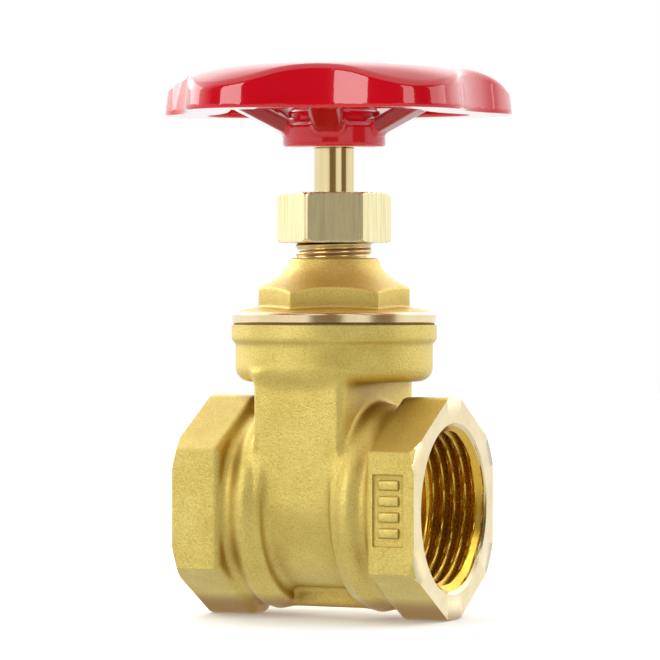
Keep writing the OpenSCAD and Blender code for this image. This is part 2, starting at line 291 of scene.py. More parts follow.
def apply_modifiers(piece):
    """Keeps the mesh that the piece's modifiers make."""
    graph = bpy.context.evaluated_depsgraph_get()
    made = bpy.data.meshes.new_from_object(piece.evaluated_get(graph))
    old = piece.data
    piece.modifiers.clear()
    piece.data = made
    made.name = old.name
    bpy.data.meshes.remove(old)


def remove(piece):
    """Deletes a helper piece and its mesh."""
    mesh = piece.data
    bpy.data.objects.remove(piece)
    bpy.data.meshes.remove(mesh)


def face_table(piece):
    """Centres, in millimetres, and normals of a mesh's faces."""
    mesh = piece.data
    centre = np.empty(len(mesh.polygons) * 3)
    normal = np.empty(len(mesh.polygons) * 3)
    mesh.polygons.foreach_get("center", centre)
    mesh.polygons.foreach_get("normal", normal)
    return centre.reshape(-1, 3) / MM, normal.reshape(-1, 3)


def dress(piece, materials, choose=None, sharp=32):
    """Gives a piece its materials, by a function of face centre and normal, and smooth shading."""
    mesh = piece.data
    mesh.materials.clear()
    for material in materials:
        mesh.materials.append(material)
    index = np.zeros(len(mesh.polygons), dtype=np.int32)
    if choose is not None:
        centre, normal = face_table(piece)
        index = choose(centre, normal).astype(np.int32)
    mesh.polygons.foreach_set("material_index", index)
    mesh.polygons.foreach_set("use_smooth", np.ones(len(mesh.polygons), dtype=bool))
    mesh.set_sharp_from_angle(angle=math.radians(sharp))
    mesh.update()


def place(piece, body, slot, *nodes):
    """Says what a piece rides on and which CAD nodes it stands for, and hides those nodes. The slot is not
    used.
    """
    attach(piece, body)
    if nodes:
        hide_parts(*nodes)
    return piece


# ---------------------------------------------------------------- materials

class Tree:
    """A short way to write nodes."""

    def __init__(self, tree):
        self.tree = tree

    def add(self, kind, **values):
        node = self.tree.nodes.new(kind)
        for key, value in values.items():
            setattr(node, key, value)
        return node

    def link(self, source, target):
        self.tree.links.new(source, target)

    def put(self, socket, value):
        """Links a socket or sets a plain value."""
        if isinstance(value, bpy.types.NodeSocket):
            self.link(value, socket)
        else:
            socket.default_value = value

    def math(self, operation, a, b=0.0, c=0.0):
        node = self.add("ShaderNodeMath", operation=operation)
        for socket, value in zip(node.inputs, (a, b, c)):
            self.put(socket, value)
        return node.outputs[0]

    def ramp(self, fac, *stops):
        """A colour or grey ramp from (place, value) pairs."""
        node = self.add("ShaderNodeValToRGB")
        elements = node.color_ramp.elements
        while len(elements) < len(stops):
            elements.new(0.5)
        for element, (at, value) in zip(elements, stops):
            element.position = at
            element.color = (*value, 1) if isinstance(value, tuple) else (value, value, value, 1)
        self.link(fac, node.inputs["Fac"])
        return node.outputs["Color"]

    def mix(self, fac, a, b, kind="MIX"):
        node = self.add("ShaderNodeMix", data_type="RGBA", blend_type=kind)
        self.put(node.inputs["Factor"], fac)
        for socket, value in zip((node.inputs[6], node.inputs[7]), (a, b)):
            self.put(socket, (*value, 1) if isinstance(value, tuple) else value)
        return node.outputs[2]


class Nodes(Tree):
    """A material on the Principled shader."""

    def __init__(self, name):
        self.material = bpy.data.materials.new(name)
        self.material.use_nodes = True
        super().__init__(self.material.node_tree)
        self.shader = self.tree.nodes["Principled BSDF"]
        self.place = self.add("ShaderNodeTexCoord").outputs["Object"]

    def scaled(self, scale):
        """Object coordinates, stretched by a factor on each axis."""
        node = self.add("ShaderNodeMapping")
        node.inputs["Scale"].default_value = scale if isinstance(scale, tuple) else (scale,) * 3
        self.link(self.place, node.inputs["Vector"])
        return node.outputs["Vector"]

    def noise(self, per_mm, detail=4.0, rough=0.5, stretch=(1, 1, 1)):
        """Noise with its grains 1/per_mm apart."""
        node = self.add("ShaderNodeTexNoise")
        node.inputs["Scale"].default_value = 1.0
        node.inputs["Detail"].default_value = detail
        node.inputs["Roughness"].default_value = rough
        scale = tuple(per_mm / MM * s for s in stretch)
        self.link(self.scaled(scale), node.inputs["Vector"])
        return node.outputs["Fac"]

    def cells(self, per_mm):
        """Distance to the nearest of many scattered points, 1/per_mm apart."""
        node = self.add("ShaderNodeTexVoronoi", feature="F1")
        node.inputs["Scale"].default_value = 1.0
        self.link(self.scaled(per_mm / MM), node.inputs["Vector"])
        return node.outputs["Distance"]

    def bump(self, height, depth_mm, strength=1.0):
        """Adds a bump on top of those already made."""
        node = self.add("ShaderNodeBump")
        node.inputs["Strength"].default_value = strength
        node.inputs["Distance"].default_value = depth_mm * MM
        self.link(height, node.inputs["Height"])
        normal = self.shader.inputs["Normal"]
        if normal.is_linked:
            self.link(normal.links[0].from_socket, node.inputs["Normal"])
        self.link(node.outputs["Normal"], normal)

    def set(self, **values):
        """Sets or links the shader's inputs, by short names."""
        names = {"color": "Base Color", "rough": "Roughness", "metal": "Metallic", "ior": "IOR",
                 "coat": "Coat Weight", "coat_rough": "Coat Roughness", "coat_ior": "Coat IOR",
                 "level": "Specular IOR Level"}
        for key, value in values.items():
            self.put(self.shader.inputs[names[key]], (*value, 1) if isinstance(value, tuple) else value)

    def crevice(self, reach_mm):
        """0 in a crease and 1 in the open, from how much of the sky a point sees."""
        node = self.add("ShaderNodeAmbientOcclusion", samples=8)
        node.inputs["Distance"].default_value = reach_mm * MM
        return node.outputs["AO"]


# Weight of the thin clear film on the brass
FILM = 0.3


def cast_brass():
    """Sand cast and shot blasted: fine sparkling grain, with painted shade darkening the corners."""
    n = Nodes("cast_brass")
    grain = n.noise(3.0, 3, 0.62)
    pits = n.cells(1.9)
    cloud = n.noise(0.12, 3, 0.55)
    tone = n.ramp(cloud, (0.3, (0.74, 0.565, 0.135)), (0.7, (0.84, 0.67, 0.19)))
    fleck = n.ramp(grain, (0.34, 0.74), (0.5, 0.95), (0.72, 1.0))
    color = n.mix(0.8, tone, fleck, "MULTIPLY")
    # Painted shade: where little open sky shows within 5 mm, the colour is mixed towards dark orange brown.
    n.set(color=n.mix(n.ramp(n.crevice(5), (0.35, 1.0), (0.95, 0.0)), color, (0.40, 0.21, 0.025)),
          metal=1.0, rough=n.ramp(grain, (0.3, 0.58), (0.7, 0.40)), coat=FILM, coat_rough=0.4)
    n.bump(grain, 0.16, 0.7)
    n.bump(n.ramp(pits, (0.0, 0.0), (0.45, 1.0)), 0.05, 0.3)
    n.bump(n.noise(0.35, 3, 0.5), 0.25, 0.3)
    return n.material


def turned_brass(name="turned_brass", across="x"):
    """Machined brass with fine rings round the axis that it was turned on."""
    n = Nodes(name)
    split = n.add("ShaderNodeSeparateXYZ")
    n.link(n.place, split.inputs[0])
    x, y, z = split.outputs
    first, second = (y, z) if across == "x" else (x, y)
    radius = n.math("SQRT", n.math("ADD", n.math("MULTIPLY", first, first),
                                   n.math("MULTIPLY", second, second)))
    lengthways = x if across == "x" else z
    path = n.math("MULTIPLY", n.math("ADD", radius, lengthways), 1 / (0.16 * MM))
    lines = n.add("ShaderNodeTexNoise", noise_dimensions="1D")
    lines.inputs["Scale"].default_value = 1.0
    lines.inputs["Detail"].default_value = 3.0
    n.link(path, lines.inputs["W"])
    ring = lines.outputs["Fac"]
    tone = n.ramp(n.noise(0.2), (0.3, (0.81, 0.67, 0.37)), (0.7, (0.89, 0.76, 0.47)))
    # Painted shade: where little open sky shows within 3 mm, as in thread roots and corners, the colour is
    # mixed towards brown.
    n.set(color=n.mix(n.ramp(n.crevice(3), (0.3, 1.0), (0.9, 0.0)), tone, (0.45, 0.25, 0.06)),
          metal=1.0, rough=n.ramp(ring, (0.3, 0.26), (0.7, 0.14)), coat=FILM, coat_rough=0.2)
    n.bump(ring, 0.012, 0.35)
    return n.material


def drawn_brass():
    """Hexagon bar with lengthways drawing lines."""
    n = Nodes("drawn_brass")
    lines = n.noise(2.2, 3, 0.6, (1, 1, 0.03))
    tone = n.ramp(lines, (0.3, (0.70, 0.62, 0.30)), (0.5, (0.86, 0.78, 0.44)), (0.7, (0.93, 0.86, 0.52)))
    n.set(color=tone, metal=1.0, rough=n.ramp(lines, (0.35, 0.44), (0.65, 0.3)), coat=FILM,
          coat_rough=0.25)
    n.bump(lines, 0.03, 0.5)
    n.bump(n.noise(0.3, 2), 0.08, 0.3)
    return n.material


def polished_brass():
    """The stem: polished round, with faint lines along it."""
    n = Nodes("polished_brass")
    lines = n.noise(1.6, 3, 0.5, (1, 1, 0.02))
    n.set(color=n.ramp(lines, (0.3, (0.74, 0.60, 0.30)), (0.7, (0.85, 0.72, 0.42))),
          metal=1.0, rough=n.ramp(lines, (0.35, 0.16), (0.65, 0.08)))
    n.bump(lines, 0.015, 0.3)
    return n.material


def red_enamel(name, low, high, crease):
    """Thick glossy paint with a soft orange peel."""
    n = Nodes(name)
    cloud = n.noise(0.05, 2)
    # Painted shade: where little open sky shows within 14 mm, the colour is mixed towards the crease
    # colour, a painted shade colour.
    n.set(color=n.mix(n.ramp(n.crevice(14), (0.2, 1.0), (0.75, 0.0)),
                      n.ramp(cloud, (0.3, low), (0.7, high)), crease),
          rough=n.ramp(n.noise(0.4, 2), (0.3, 0.14), (0.7, 0.2)), coat=1.0, coat_rough=0.03,
          ior=1.5, coat_ior=1.55, level=0.1)
    n.bump(n.noise(0.28, 2, 0.4), 0.05, 0.25)
    return n.material


def threaded_brass():
    """Cut threads inside a port, where brass mirrors brass and the colour deepens."""
    n = Nodes("threaded_brass")
    chatter = n.noise(1.4, 3, 0.55)
    tone = n.ramp(chatter, (0.3, (0.72, 0.44, 0.05)), (0.7, (0.80, 0.53, 0.08)))
    n.set(color=tone, metal=1.0, rough=n.ramp(chatter, (0.3, 0.30), (0.7, 0.20)))
    n.bump(chatter, 0.02, 0.25)
    return n.material


def ptfe():
    """White packing, soft and slightly woven."""
    n = Nodes("ptfe")
    weave = n.noise(1.2, 3, 0.6)
    n.set(color=n.ramp(weave, (0.3, (0.78, 0.76, 0.70)), (0.7, (0.88, 0.87, 0.83))),
          rough=n.ramp(weave, (0.3, 0.55), (0.7, 0.4)))
    n.bump(weave, 0.08, 0.5)
    return n.material


def fibre():
    """Brown pressed gasket board."""
    n = Nodes("fibre")
    strands = n.noise(1.5, 4, 0.65, (1, 1, 3))
    n.set(color=n.ramp(strands, (0.3, (0.14, 0.10, 0.055)), (0.7, (0.26, 0.19, 0.10))),
          rough=n.ramp(strands, (0.3, 0.85), (0.7, 0.7)))
    n.bump(strands, 0.08, 0.6)
    return n.material


def plate_metal():
    """Brushed sheet aluminium."""
    n = Nodes("plate_metal")
    lines = n.noise(1.6, 3, 0.6, (0.04, 1, 1))
    n.set(color=n.ramp(lines, (0.3, (0.68, 0.69, 0.71)), (0.7, (0.80, 0.81, 0.83))), metal=1.0,
          rough=n.ramp(lines, (0.3, 0.38), (0.7, 0.24)))
    n.bump(lines, 0.02, 0.5)
    return n.material


def zinc_steel():
    """Zinc plated steel with a faint spangle."""
    n = Nodes("zinc_steel")
    spangle = n.noise(0.7, 4, 0.6)
    n.set(color=n.ramp(spangle, (0.3, (0.52, 0.53, 0.53)), (0.7, (0.68, 0.69, 0.68))), metal=1.0,
          rough=n.ramp(spangle, (0.3, 0.36), (0.7, 0.22)))
    n.bump(spangle, 0.03, 0.4)
    return n.material


CAST = cast_brass()
TURNED_X = turned_brass("turned_brass_x", "x")
TURNED_Z = turned_brass("turned_brass_z", "z")
DRAWN = drawn_brass()
POLISHED = polished_brass()
ENAMEL = red_enamel("red_enamel", (0.47, 0.0008, 0.007), (0.53, 0.0014, 0.010), (0.20, 0.001, 0.003))
# A darker copy of the enamel, its colour painted shade, for the spokes' lower faces.
SPOKE_SHADE_ENAMEL = red_enamel("spoke_shade_enamel", (0.27, 0.003, 0.003), (0.32, 0.005, 0.005), (0.12, 0.001, 0.001))
THREAD = threaded_brass()


# ---------------------------------------------------------------- valve body

HOUSING_X, HOUSING_Y, HOUSING_TOP = 9.8, 17.9, 26.5
HOUSING_ARC_Z = body_low[2] + 23.6
CAVITY_X, CAVITY_Y = 7.5, 15.6
GUIDE_HALF, GUIDE_Y, GUIDE_TOP = 1.5, 12.8, 26.5
VALLEY_R = 19.5
BEAD_X, BEAD_CENTRE_R, BEAD_ROUND = 11.2, 18.5, 2.15
COLLAR_R, COLLAR_LOW, COLLAR_HIGH = 19.7, 25, 47
BAND_R, BAND_LOW = 20.5, 32.9
COLLAR_BORE_R, COLLAR_BORE_LOW = 17.9, 27
RIB_HALF, RIB_MIDDLE, RIB_HEIGHT, RIB_X = 2.5, -15, 5.1, 15
PORT_MOUTH_R = 16.95
END_FACE_R = 21.9
PANEL_INNER, PANEL_OUTER = END_X - 8.7, END_X - 2.2
PANEL_LOW, PANEL_HIGH, PANEL_DEPTH = -6.5, 7.6, 0.45
BAR_COUNT, BAR_PITCH, BAR_HIGH, BAR_HALF_LENGTH = 4, 3.1, 1.9, 2.2
BAR_LOWEST = -4.8
HEX_IN = END_X - HEX_LENGTH
SEAT_R, SEAT_X, TAPER = 13, 6, math.radians(4)


def end_field(x, y, z):
    """One end: hexagon, valley and bead. Both ends are alike, so x is its size only."""
    out = np.abs(x)
    across = np.sqrt(y * y + z * z)
    hexa = rounded(hexagon(y, z, HEX_HALF), np.abs(z) - HEX_FLAT_Z, 0.5)
    hexa = np.maximum(rounded(hexa, HEX_IN - 0.2 - out, 1.3), out - END_X - 0.6)
    valley = rounded(across - VALLEY_R, np.maximum(CAVITY_X - out, out - HEX_IN - 2), 0.8)
    bead = np.hypot(out - BEAD_X, across - BEAD_CENTRE_R) - BEAD_ROUND
    return blend(blend(valley, bead, 1.4), hexa, 1.5)


def housing_width(y, z, half, arc_z):
    """Distance to a U-shaped outline that is open upward."""
    return np.hypot(y, np.minimum(z - arc_z, 0)) - half


def body_field(x, y, z):
    """The casting before its ports are cut: both ends, housing, collar, rib and inner pocket."""
    out = np.abs(x)
    round_z = np.sqrt(x * x + y * y)
    housing = rounded(out - HOUSING_X, housing_width(y, z, HOUSING_Y, HOUSING_ARC_Z), 1.7)
    housing = np.maximum(housing, z - HOUSING_TOP)
    rib = rounded(np.abs(y) - RIB_HALF, np.abs(z - RIB_MIDDLE) - RIB_HEIGHT, 0.9)
    rib = rounded(rib, out - RIB_X, 0.5)
    collar = rounded(round_z - COLLAR_R, layer(z, COLLAR_LOW, COLLAR_HIGH), 2.8)
    band = rounded(round_z - BAND_R, BAND_LOW - z, 0.7)
    shell = blend(housing, end_field(x, y, z), 1.8)
    shell = blend(shell, rib, 1.2)
    shell = blend(shell, collar, 2.0)
    shell = blend(shell, band, 0.8)
    hollow = rounded(out - CAVITY_X, housing_width(y, z, CAVITY_Y, HOUSING_ARC_Z), 1.5)
    seats = rounded(np.hypot(y, z) - SEAT_R, SEAT_X + z * math.tan(TAPER) - out, 0.3)
    guides = rounded(rounded(out - GUIDE_HALF, GUIDE_Y - np.abs(y), 0.4), z - GUIDE_TOP, 0.5)
    hollow = np.maximum(hollow, -np.minimum(seats, guides))
    return np.maximum(shell, -hollow)


def port_cutter(side):
    """The threaded mouth: an Rp thread with a run-out at its root and a chamfer at its mouth."""
    start = END_X - PORT_DEPTH

    def radius(angle, at):
        depth = smooth_step(start + 0.4, start + 2.2, at)
        thread = PORT_CORE + (PORT_MAJOR - PORT_CORE) * depth * helix(angle, at, PORT_PITCH)
        chamfer = PORT_MOUTH_R - (END_X - at) * 1.1
        return np.maximum(thread, chamfer)

    tool = threaded("port", radius, start, END_X + 1, 100, "x", steps=128)
    if side < 0:
        for v in tool.data.vertices:
            v.co.x, v.co.y = -v.co.x, -v.co.y
    return tool


def rounded_panel(name, low, high, bevel):
    """A box with bevelled edges."""
    corners = [(x, y, z) for x in (low[0], high[0]) for y in (low[1], high[1])
               for z in (low[2], high[2])]
    faces = [(0, 1, 3, 2), (4, 6, 7, 5), (0, 4, 5, 1), (2, 3, 7, 6), (0, 2, 6, 4), (1, 5, 7, 3)]
    piece = polygons(name, corners, faces)
    edge = piece.modifiers.new("bevel", "BEVEL")
    edge.width = bevel * MM
    edge.segments = 3
    apply_modifiers(piece)
    return piece


def valve_body():
    """The casting, with its ends turned, its ports threaded and its panel sunk."""
    cell = 0.48
    piece = solid("valve_body_casting", body_field, body_low, body_high + (0, 0, 1), cell)
    half_outline = [(0, END_X), (END_FACE_R, END_X), (END_FACE_R + 0.5, END_X - 0.3),
                    (END_FACE_R + 2.6, END_X - 1.5), (60, END_X - 1.5)]
    outline = [(r, -x) for r, x in half_outline] + half_outline[::-1]
    boolean(piece, turned("ends", outline, "x"), "INTERSECT")
    panel_low = (PANEL_INNER, -HEX_HALF - 2, PANEL_LOW)
    panel_high = (PANEL_OUTER, -HEX_HALF + PANEL_DEPTH, PANEL_HIGH)
    boolean(piece, rounded_panel("panel", panel_low, panel_high, 0.25), "DIFFERENCE")
    middle = (PANEL_INNER + PANEL_OUTER) / 2
    for k in reversed(range(BAR_COUNT)):
        low = BAR_LOWEST + k * BAR_PITCH
        mark = rounded_panel("mark", (middle - BAR_HALF_LENGTH, -HEX_HALF, low),
                             (middle + BAR_HALF_LENGTH, -HEX_HALF + 1.5, low + BAR_HIGH), 0.35)
        boolean(piece, mark, "UNION")
    for side in (1, -1):
        boolean(piece, port_cutter(side), "DIFFERENCE")
    way_end = END_X - 5
    way = turned("way", [(0, -way_end), (WATERWAY_R, -way_end), (WATERWAY_R, way_end), (0, way_end)], "x")
    boolean(piece, way, "DIFFERENCE")
    mouth = turned("mouth", [(0, COLLAR_BORE_LOW), (COLLAR_BORE_R, COLLAR_BORE_LOW),
                             (COLLAR_BORE_R, COLLAR_TOP - 0.5), (COLLAR_BORE_R + 0.5, COLLAR_TOP),
                             (30, COLLAR_TOP), (30, COLLAR_TOP + 5), (0, COLLAR_TOP + 5)])
    boolean(piece, mouth, "DIFFERENCE")

    def finish(centre, normal):
        x, y, z = centre.T
        port = np.abs(x) > END_X - PORT_DEPTH - 0.5
        ends = (np.abs(x) > END_X - 0.5) & (np.abs(normal[:, 0]) > 0.3)
        bore = (np.hypot(y, z) < PORT_MOUTH_R + 0.15) & port & ~ends
        seat = (np.hypot(y, z) < SEAT_R + 0.2) & ~port
        top = (z > COLLAR_BORE_LOW) & ((np.hypot(x, y) < COLLAR_BORE_R + 0.6) | (normal[:, 2] > 0.7))
        return np.where(bore, 3, np.where(ends | seat, 1, np.where(top, 2, 0)))

    dress(piece, [CAST, TURNED_X, TURNED_Z, THREAD], finish)
    return place(piece, "valve", "cast_brass", "valve_body")


# ---------------------------------------------------------------- bonnet

BONNET_HALF, BONNET_CORNER = 15, 15.05
BONNET_HEX_TOP = 44.0
CONE_R = 14.5
SHOULDER_R = 19.4
FLANGE_TOP = 38.6
SKIRT_R, SKIRT_IN = 17.85, 15.5
NECK_FOOT = 49.6
STUFFING_LOW, STUFFING_R = 50.2, 5.9
STEM_HOLE_R = 4.06


def turned_frame(x, y, angle):
    """Coordinates seen from a part that has been turned about Z."""
    return x * math.cos(angle) + y * math.sin(angle), y * math.cos(angle) - x * math.sin(angle)


def bonnet_field(x, y, z):
    """The cast part above the flange: sloped shoulder, hexagon and flared cone."""
    across, along = turned_frame(x, y, BONNET_TURN)
    radius = np.hypot(x, y)
    hexa = rounded(hexagon(along, across, BONNET_HALF), np.abs(across) - BONNET_CORNER, 0.4)
    hexa = rounded(hexa, np.maximum(z - BONNET_HEX_TOP, 38 - z), 0.35)
    hexa = rounded(hexa, (radius - 15.2) * 0.4 + (z - BONNET_HEX_TOP + 0.3) * 0.92, 0.3)
    shoulder = rounded(radius - SHOULDER_R, (radius - 16.6) * 0.18 + z - 39.5, 0.5)
    shoulder = np.maximum(shoulder, 37 - z)
    flare = (radius - 7.9 - 6.6 * np.exp(-(z - BONNET_HEX_TOP) / 2.7)) * 0.75
    flare = rounded(rounded(flare, radius - CONE_R, 0.6), np.maximum(z - NECK_FOOT, 42 - z), 0.3)
    return blend(blend(shoulder, hexa, 0.5), flare, 0.4)


def bonnet():
    """The cover: its casting, turned flange and skirt, threaded neck and stepped inside."""
    cell = 0.34
    low = (bonnet_low[0], bonnet_low[1], FLANGE_TOP - 1)
    high = (bonnet_high[0], bonnet_high[1], NECK_FOOT + 0.6)
    piece = solid("bonnet_casting", bonnet_field, low, high, cell)
    bottom, top, seat = bonnet_low[2], bonnet_high[2], gasket_high[2]
    flange_r = bonnet_high[0]
    flange = turned("flange", [
        (0, bottom), (SKIRT_R - 0.6, bottom), (SKIRT_R, bottom + 0.6), (SKIRT_R, seat),
        (flange_r - 0.25, seat), (flange_r, seat + 0.25), (flange_r, FLANGE_TOP - 0.3),
        (flange_r - 0.3, FLANGE_TOP), (flange_r - 1.1, FLANGE_TOP + 0.25), (0, FLANGE_TOP + 0.25)])
    boolean(piece, flange, "UNION")

    def neck_radius(angle, at):
        worn = smooth_step(top, top - 0.8, at)
        root = 7.4 - 0.55 * smooth_step(nut_low[2] - 0.2, nut_low[2] + 0.8, at)
        return root + (NECK_R - root) * worn * helix(angle, at, NECK_PITCH)

    neck = threaded("neck", neck_radius, NECK_FOOT - 1, top, 120)
    boolean(piece, neck, "UNION")
    inside = turned("inside", [
        (0, bottom - 1), (SKIRT_IN, bottom - 1), (SKIRT_IN, 35), (9, 40), (9, 43), (8, 43), (8, 46),
        (6.6, 46), (6.6, 49), (STEM_HOLE_R, 49), (STEM_HOLE_R, STUFFING_LOW), (STUFFING_R, STUFFING_LOW),
        (STUFFING_R, top - 0.4), (STUFFING_R + 0.4, top), (STUFFING_R + 0.4, top + 1), (0, top + 1)])
    boolean(piece, inside, "DIFFERENCE")

    def finish(centre, normal):
        x, y, z = centre.T
        radius = np.hypot(x, y)
        flange_face = (z < FLANGE_TOP - 0.1) | ((z < FLANGE_TOP + 0.3) & (radius > SHOULDER_R - 0.1))
        neck_face = (z > NECK_FOOT - 0.4) & (radius < 8)
        return (flange_face | neck_face | (radius < 6.65)).astype(int)

    dress(piece, [CAST, TURNED_Z], finish)
    return place(piece, "valve", "cast_brass", "bonnet")


# ---------------------------------------------------------------- packing nut

def nut_field(half, height, low, turn, chamfer, bore):
    """A chamfered hexagon nut with a smooth bore, its flats turned by an angle."""
    corner = half / math.cos(math.pi / 6)

    def field(x, y, z):
        across, along = turned_frame(x, y, turn)
        radius = np.hypot(x, y)
        middle = low + height / 2
        up = np.abs(z - middle) - height / 2
        bar = rounded(hexagon(along, across, half), up, 0.18)
        slope = (radius - corner + chamfer) * 0.5 + up * 0.866
        nut = rounded(bar, slope, 0.12)
        return cut(nut, radius - bore, 0.2)
    return field


NUT_HALF, NUT_CHAMFER, NUT_HOLE_R, NUT_CEILING = 9.875, 0.75, 4.15, 59.8


def packing_nut():
    """The hexagon nut that presses the packing, threaded up to its ceiling."""
    cell = 0.2
    height = nut_high[2] - nut_low[2]
    field = nut_field(NUT_HALF, height, nut_low[2], BONNET_TURN, NUT_CHAMFER, NUT_HOLE_R)
    piece = solid("packing_nut_hexagon", field, nut_low, nut_high, cell)

    def radius(angle, at):
        crest = NECK_R + THREAD_SLACK
        depth = 0.9
        mouth = 8.5 - (at - nut_low[2]) * 1.2
        return np.maximum(crest - depth + depth * helix(angle, at, NECK_PITCH), mouth)

    boolean(piece, threaded("nut_thread", radius, nut_low[2] - 0.5, NUT_CEILING, 90), "DIFFERENCE")

    def finish(centre, normal):
        x, y = centre[:, 0], centre[:, 1]
        across, along = turned_frame(x, y, BONNET_TURN)
        on_flat = hexagon(along, across, NUT_HALF) > -0.05
        return np.where(on_flat & (np.abs(normal[:, 2]) < 0.3), 0, 1)

    dress(piece, [DRAWN, TURNED_Z], finish)
    return place(piece, "valve", "drawn_brass", "packing_nut")


# ---------------------------------------------------------------- handwheel

WHEEL_R = -wheel_low[0]
LOBE_R, SCALLOP_FLOOR = 15, 30.2
LOBE_CENTRE = WHEEL_R - LOBE_R
HALF_STEP = math.pi / 5
SCALLOP_R = ((LOBE_CENTRE ** 2 + SCALLOP_FLOOR ** 2 - LOBE_R ** 2
              - 2 * LOBE_CENTRE * SCALLOP_FLOOR * math.cos(HALF_STEP))
             / (2 * LOBE_R - 2 * SCALLOP_FLOOR + 2 * LOBE_CENTRE * math.cos(HALF_STEP)))
SCALLOP_CENTRE = SCALLOP_FLOOR + SCALLOP_R
LOBE_HALF = math.pi - math.acos(
    (LOBE_CENTRE ** 2 + (LOBE_R + SCALLOP_R) ** 2 - SCALLOP_CENTRE ** 2)
    / (2 * LOBE_CENTRE * (LOBE_R + SCALLOP_R)))
HUB_LOW, HUB_HIGH, HUB_R = wheel_low[2], plate_low[2], 10.3
RIM_LOW, RIM_TOP = 78.3, wheel_high[2]
CREST_R, DOME_R = 21.5, 22
RIM_W = 9
RIM_DRAFT = 0.12
SPOKE_START, SPOKE_RISE = 74.3, 0.5
HUB_STEP, BOSS_R = 76.2, 9.2
SQUARE_HALF = 3.13


def sector(x, y):
    """Folds the wheel onto half of one lobe, with the lobe's middle along the first coordinate."""
    angle = np.arctan2(y, x) - WHEEL_TURN
    angle = np.abs((angle + HALF_STEP) % (2 * HALF_STEP) - HALF_STEP)
    radius = np.hypot(x, y)
    return radius * np.cos(angle), radius * np.sin(angle)


def lobed_outline(p, q):
    """Distance outside the wheel's lobed outline."""
    lobe = np.hypot(p - LOBE_CENTRE, q) - LOBE_R
    scallop = SCALLOP_R - np.hypot(p - SCALLOP_CENTRE * math.cos(HALF_STEP),
                                   q - SCALLOP_CENTRE * math.sin(HALF_STEP))
    on_lobe = (p - LOBE_CENTRE) * math.sin(LOBE_HALF) > q * math.cos(LOBE_HALF)
    return np.where(on_lobe, lobe, scallop)


def wheel_field(x, y, z):
    """The wheel: a domed lobed rim, five spokes, a stepped hub and the stem's square hole."""
    p, q = sector(x, y)
    radius = np.hypot(x, y)
    outline = lobed_outline(p, q)
    edge = outline + (z - RIM_LOW) * RIM_DRAFT
    inner = -outline - RIM_W
    fall = np.clip(radius - CREST_R, 0, DOME_R - 1)
    top = RIM_TOP - DOME_R + np.sqrt(DOME_R ** 2 - fall ** 2)
    rim = rounded(edge, (z - top) * 0.85, 0.8)
    rim = rounded(rim, RIM_LOW - z, 0.5)
    rim = rounded(rim, inner, 1.1)
    along = p * math.cos(HALF_STEP) + q * math.sin(HALF_STEP)
    side = np.abs(q * math.cos(HALF_STEP) - p * math.sin(HALF_STEP))
    low = SPOKE_START + (along - HUB_R) * SPOKE_RISE
    width = 2.75 + 0.05 * (along - HUB_R) + 0.25 * (z - low)
    spoke = rounded(side - width, np.abs(z - low - 1.6) * 0.89 - 1.42, 0.9)
    spoke = np.maximum(spoke, np.maximum(6 - along, along - SCALLOP_FLOOR + RIM_W - 1))
    hub = rounded(radius - HUB_R, layer(z, HUB_LOW, HUB_STEP), 0.6)
    boss = rounded(radius - BOSS_R, layer(z, HUB_LOW, HUB_HIGH), 0.5)
    hub = blend(hub, boss, 0.6)
    arms = blend(spoke, hub, 0.9)
    hole = np.maximum(np.abs(x), np.abs(y)) - SQUARE_HALF
    return cut(blend(rim, arms, 1.3), hole, 0.25)


def handwheel():
    """The painted wheel. The lower faces of its spokes take a darker copy of the enamel, as painted shade.
    """
    cell = 0.4
    piece = solid("handwheel_casting", wheel_field, wheel_low, wheel_high, cell)

    def finish(centre, normal):
        x, y, z = centre.T
        radius = np.hypot(x, y)
        # Painted shade: the spokes' lower faces take the darker copy of the enamel.
        spoke_shade_faces = (radius > HUB_R + 0.6) & (radius < SCALLOP_FLOOR - RIM_W - 0.4)
        return (spoke_shade_faces & (z < RIM_LOW + 1.5)).astype(int)

    dress(piece, [ENAMEL, SPOKE_SHADE_ENAMEL], finish, sharp=60)
    return place(piece, "spindle", "wheel_enamel", "handwheel")


# ---------------------------------------------------------------- stem and what holds the wheel

STEM_COLLAR_R, STEM_COLLAR_LOW, STEM_COLLAR_HIGH = 6, 46.52, 48.48
STEM_THREAD_TOP, STEM_PITCH, STEM_THREAD_DEPTH = 43.0, 3, 0.8
TIP_R = 3.0


